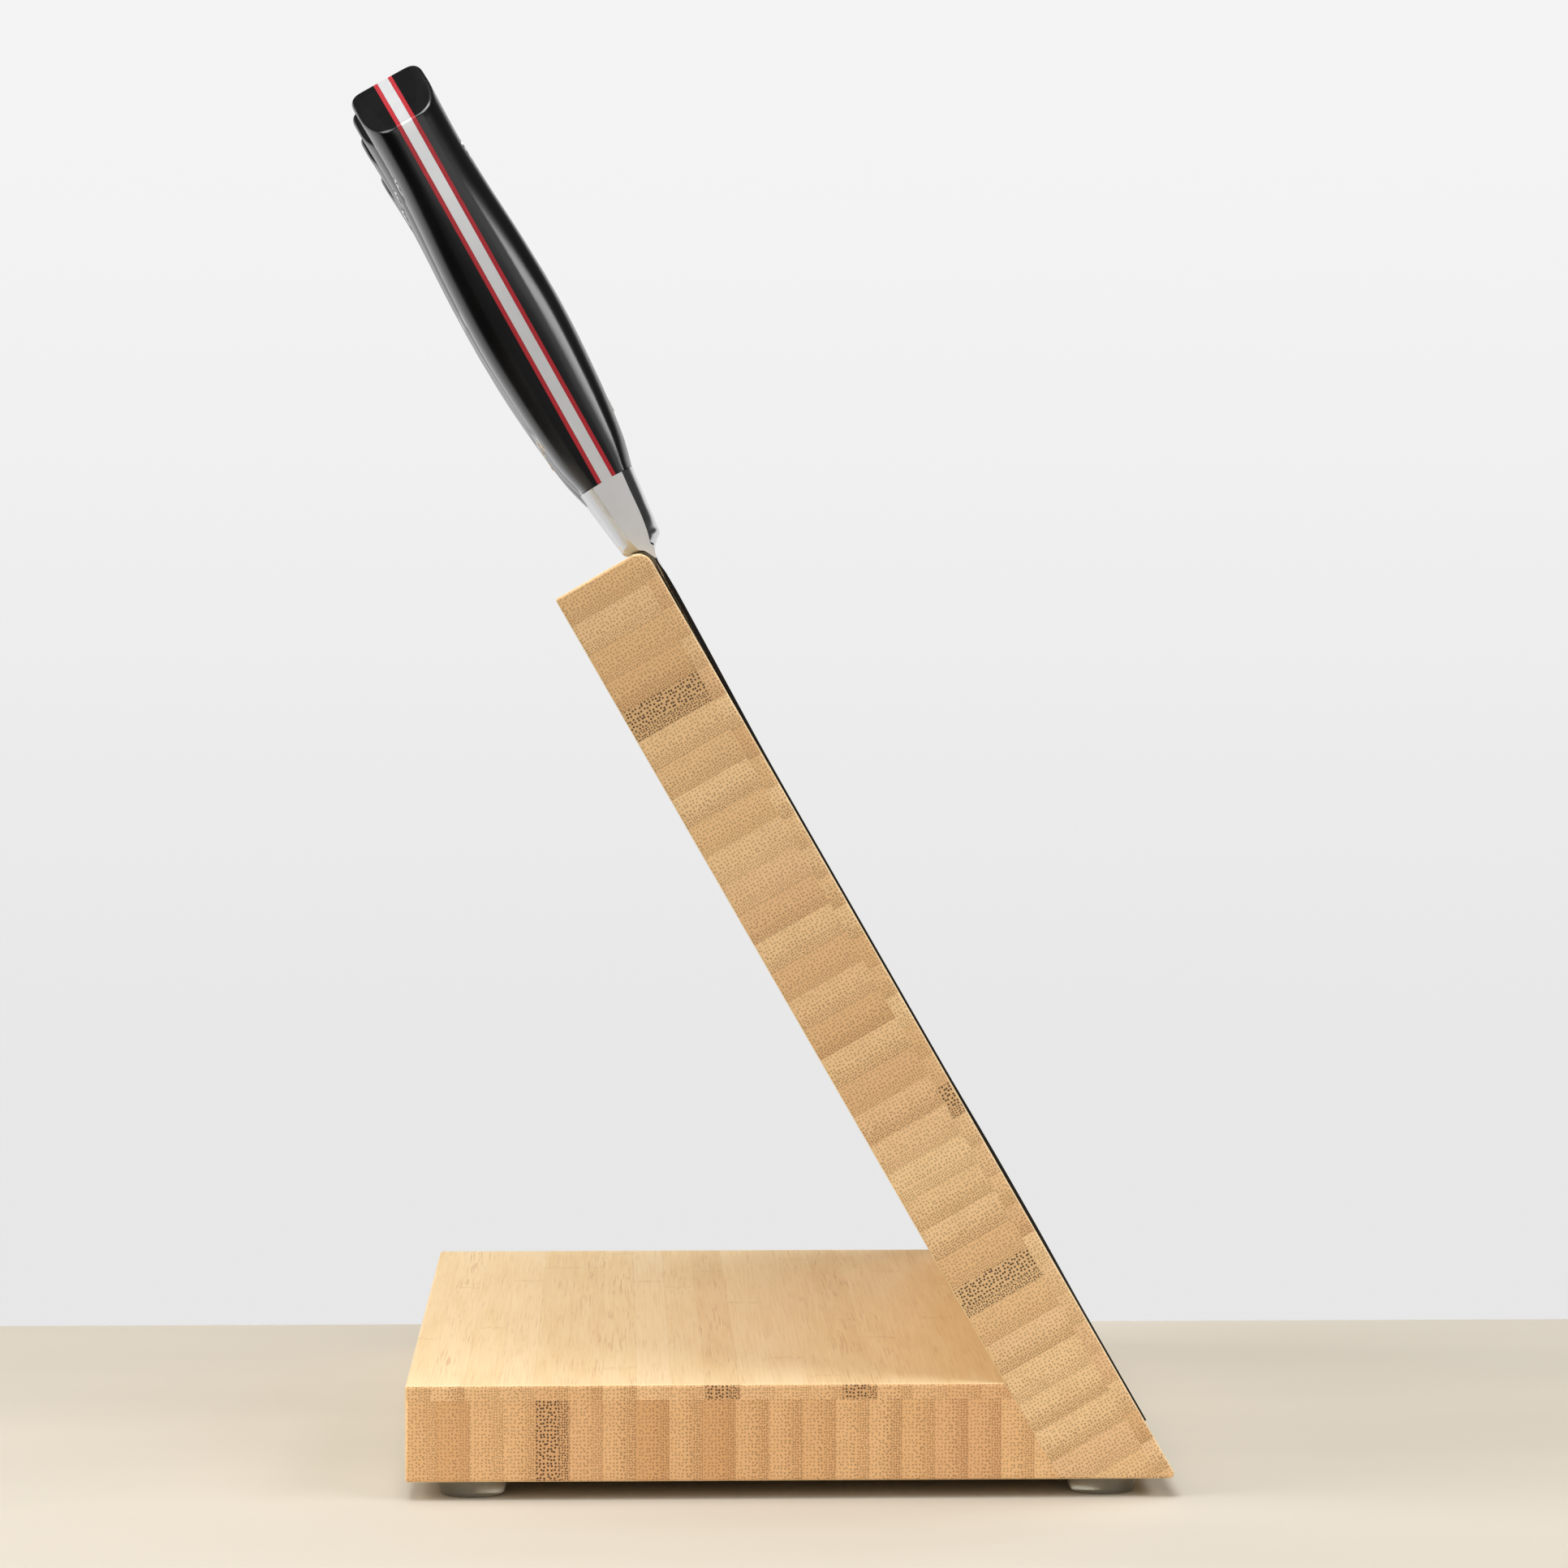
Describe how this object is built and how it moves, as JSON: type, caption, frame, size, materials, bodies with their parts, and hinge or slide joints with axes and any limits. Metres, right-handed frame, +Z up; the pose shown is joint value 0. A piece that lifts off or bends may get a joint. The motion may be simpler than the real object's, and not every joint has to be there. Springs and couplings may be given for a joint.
{
  "type": "magnetic knife block with knives",
  "caption": "Leaning magnetic board of laminated bamboo on a flat base, holding forged kitchen knives flat on its face by their blades.",
  "frame": {"origin": "on the surface that the feet stand on, under the middle of the object's bounding box", "axes": "+Z up; +X from the base board's free end towards the toe of the leaning board, whose outer face holds the knives; +Y along the boards, from the chef's knife to the utility knife"},
  "size_m": [0.1744, 0.22, 0.3016],
  "materials": {
    "bamboo_core": "satin",
    "bamboo_face": "satin",
    "dowel": "raw",
    "magnet": "matte",
    "clear_rubber": "clear, glossy",
    "blade_steel": "satin brushed",
    "rivet_steel": "satin",
    "red_liner": "satin",
    "black_scale": "satin gloss"
  },
  "bodies": {
    "block": {"base_core": "bamboo_core", "base_top_ply": "bamboo_face", "upright_core": "bamboo_core", "upright_face_ply": "bamboo_face", "magnet_bar_low": "magnet", "magnet_bar_middle": "magnet", "magnet_bar_high": "magnet", "dowel_front": "dowel", "dowel_middle": "dowel", "dowel_back": "dowel", "foot_front_left": "clear_rubber", "foot_front_right": "clear_rubber", "foot_back_left": "clear_rubber", "foot_back_right": "clear_rubber"},
    "chef_knife": {"chef_knife_blade": "blade_steel", "chef_knife_liner_inner": "red_liner", "chef_knife_liner_outer": "red_liner", "chef_knife_scale_inner": "black_scale", "chef_knife_scale_outer": "black_scale", "chef_knife_rivet_1": "rivet_steel", "chef_knife_rivet_2": "rivet_steel", "chef_knife_rivet_3": "rivet_steel"},
    "slicing_knife": {"slicing_knife_blade": "blade_steel", "slicing_knife_liner_inner": "red_liner", "slicing_knife_liner_outer": "red_liner", "slicing_knife_scale_inner": "black_scale", "slicing_knife_scale_outer": "black_scale", "slicing_knife_rivet_1": "rivet_steel", "slicing_knife_rivet_2": "rivet_steel", "slicing_knife_rivet_3": "rivet_steel"},
    "santoku_knife": {"santoku_knife_blade": "blade_steel", "santoku_knife_liner_inner": "red_liner", "santoku_knife_liner_outer": "red_liner", "santoku_knife_scale_inner": "black_scale", "santoku_knife_scale_outer": "black_scale", "santoku_knife_rivet_1": "rivet_steel", "santoku_knife_rivet_2": "rivet_steel", "santoku_knife_rivet_3": "rivet_steel"},
    "utility_knife": {"utility_knife_blade": "blade_steel", "utility_knife_liner_inner": "red_liner", "utility_knife_liner_outer": "red_liner", "utility_knife_scale_inner": "black_scale", "utility_knife_scale_outer": "black_scale", "utility_knife_rivet_1": "rivet_steel", "utility_knife_rivet_2": "rivet_steel", "utility_knife_rivet_3": "rivet_steel"}
  },
  "joints": [
    {"name": "chef_knife_pull_off", "type": "slide", "parent": "block", "child": "chef_knife", "axis": [0.8678, 0, 0.497], "range_m": [0, 0.08]},
    {"name": "slicing_knife_pull_off", "type": "slide", "parent": "block", "child": "slicing_knife", "axis": [0.8678, 0, 0.497], "range_m": [0, 0.08]},
    {"name": "santoku_knife_pull_off", "type": "slide", "parent": "block", "child": "santoku_knife", "axis": [0.8678, 0, 0.497], "range_m": [0, 0.08]},
    {"name": "utility_knife_pull_off", "type": "slide", "parent": "block", "child": "utility_knife", "axis": [0.8678, 0, 0.497], "range_m": [0, 0.08]}
  ]
}
